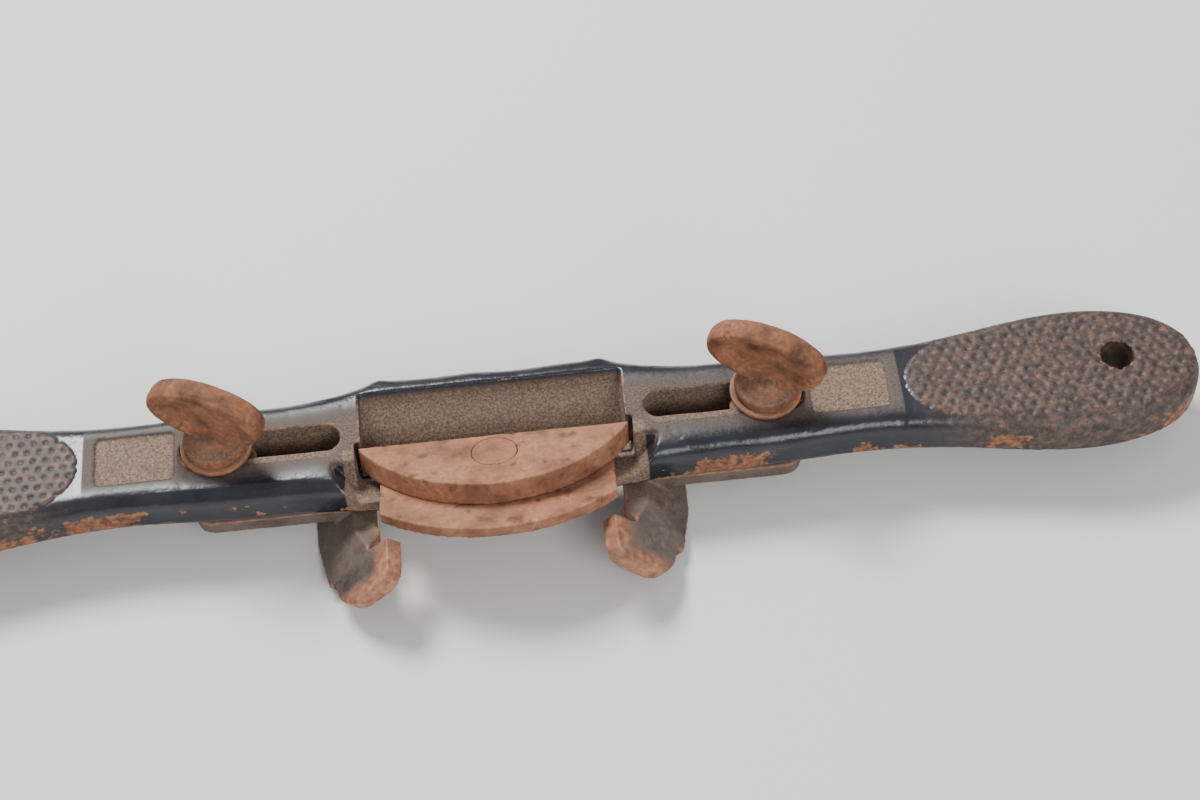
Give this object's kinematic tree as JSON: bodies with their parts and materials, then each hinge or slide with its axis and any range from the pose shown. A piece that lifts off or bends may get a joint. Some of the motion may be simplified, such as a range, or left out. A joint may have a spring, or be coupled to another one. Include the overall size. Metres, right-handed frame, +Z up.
{
  "type": "chamfer spokeshave",
  "caption": "Two-handled cast-iron spokeshave that planes chamfers along an edge between adjustable sloping fences.",
  "frame": {"origin": "centre of the bounding box at the height of the fences' lowest edges", "axes": "+X along the tool to the handle with the hanging hole, +Y from the user's side to the toe, +Z up, away from the sole"},
  "size_m": [0.233, 0.0382, 0.0309],
  "materials": {
    "japanned_iron": "worn gloss black japanning over rust",
    "rusty_steel": "even orange-brown rust",
    "worn_iron": "worn dark iron with rusted edges",
    "dusty_rust": "rust under fine dust",
    "rusty_screw": "red-brown rust"
  },
  "bodies": {
    "casting": {"body_casting": "japanned_iron"},
    "cutter": {"cutter": "rusty_steel"},
    "cap": {"cutter_cap": "rusty_steel"},
    "cap_screw": {"cap_screw": "rusty_steel"},
    "left_fence": {"left_fence": "worn_iron"},
    "left_washer": {"left_screw_washer": "dusty_rust"},
    "left_screw": {"left_thumb_screw": "rusty_screw"},
    "right_fence": {"right_fence": "worn_iron"},
    "right_washer": {"right_screw_washer": "dusty_rust"},
    "right_screw": {"right_thumb_screw": "rusty_screw"}
  },
  "joints": [
    {"name": "cutter_slide", "type": "slide", "parent": "casting", "child": "cutter", "axis": [0, 0.9397, -0.342], "range_m": [-0.003, 0.0003]},
    {"name": "cap_lift", "type": "slide", "parent": "casting", "child": "cap", "axis": [0, 0.342, 0.9397], "range_m": [0, 0.0016]},
    {"name": "cap_screw_turn", "type": "hinge", "parent": "cap", "child": "cap_screw", "pos_m": [0, -0.00116, 0.01004], "axis": [0, 0.342, 0.9397], "range_deg": [0, 720]},
    {"name": "left_fence_slide", "type": "slide", "parent": "casting", "child": "left_fence", "axis": [1, 0, 0], "range_m": [-0.0015, 0.013]},
    {"name": "left_screw_lift", "type": "slide", "parent": "left_fence", "child": "left_washer", "axis": [0, 0, 1], "range_m": [0, 0.002]},
    {"name": "left_screw_turn", "type": "hinge", "parent": "left_washer", "child": "left_screw", "pos_m": [-0.045, 0.0079, 0.016], "axis": [0, 0, 1], "range_deg": [0, 720]},
    {"name": "right_fence_slide", "type": "slide", "parent": "casting", "child": "right_fence", "axis": [-1, 0, 0], "range_m": [-0.0015, 0.013]},
    {"name": "right_screw_lift", "type": "slide", "parent": "right_fence", "child": "right_washer", "axis": [0, 0, 1], "range_m": [0, 0.002]},
    {"name": "right_screw_turn", "type": "hinge", "parent": "right_washer", "child": "right_screw", "pos_m": [0.045, 0.0079, 0.016], "axis": [0, 0, 1], "range_deg": [0, 720]}
  ],
  "couplings": [
    {"joint": "cap_screw_turn", "follows": "cap_lift", "rad_per_m": 7854},
    {"joint": "left_screw_turn", "follows": "left_screw_lift", "rad_per_m": 6283.2},
    {"joint": "right_screw_turn", "follows": "right_screw_lift", "rad_per_m": 6283.2}
  ]
}
